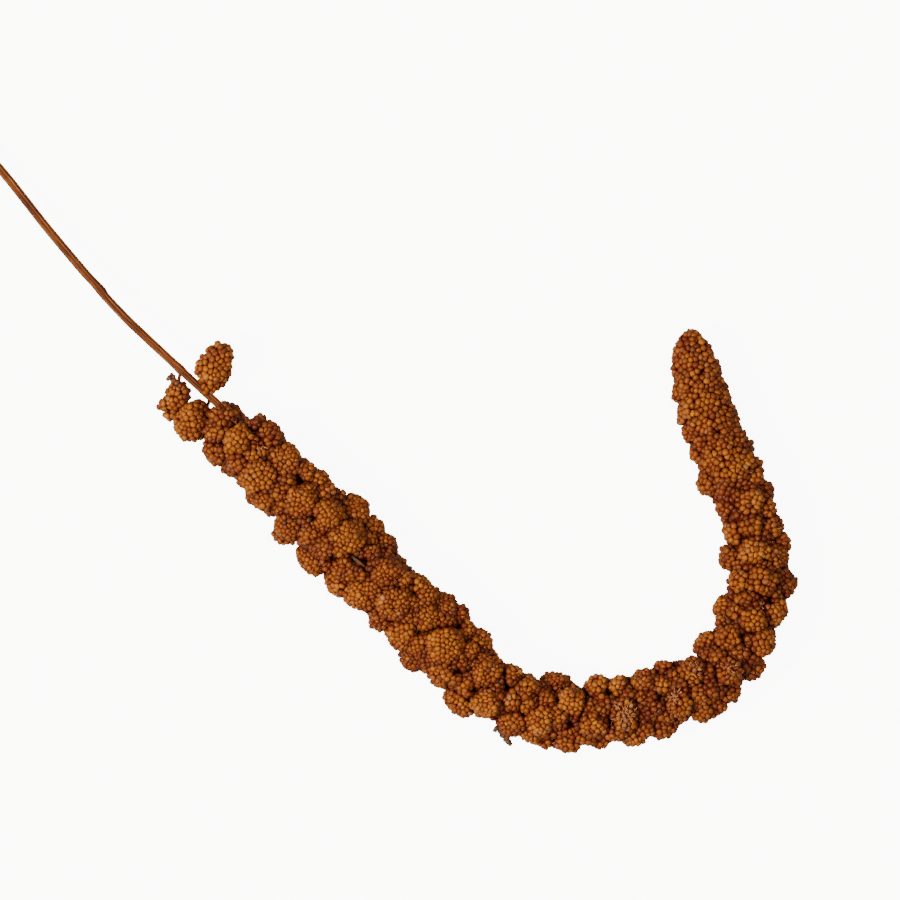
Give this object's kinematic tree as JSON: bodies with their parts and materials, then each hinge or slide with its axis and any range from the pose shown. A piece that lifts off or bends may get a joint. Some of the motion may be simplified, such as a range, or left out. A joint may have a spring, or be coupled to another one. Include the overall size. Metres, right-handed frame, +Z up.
{
  "type": "foxtail millet head",
  "caption": "Dried head of foxtail millet, curled like a J, with plump clusters of round grain on a cut stem.",
  "frame": {"origin": "centre of the bounding box at its bottom, on the surface that the head lies on", "axes": "+X along the longest extent, from the cut stem to the head's bend, +Z up out of the surface, +Y completes them"},
  "size_m": [0.2858, 0.217, 0.0271],
  "materials": {
    "straw": "dry, ribbed lengthwise",
    "grain": "satin husks"
  },
  "bodies": {
    "root": {"stalk": "straw", "seed_head": "grain", "side_cluster_upper": "grain", "side_cluster_lower": "grain"}
  },
  "joints": []
}
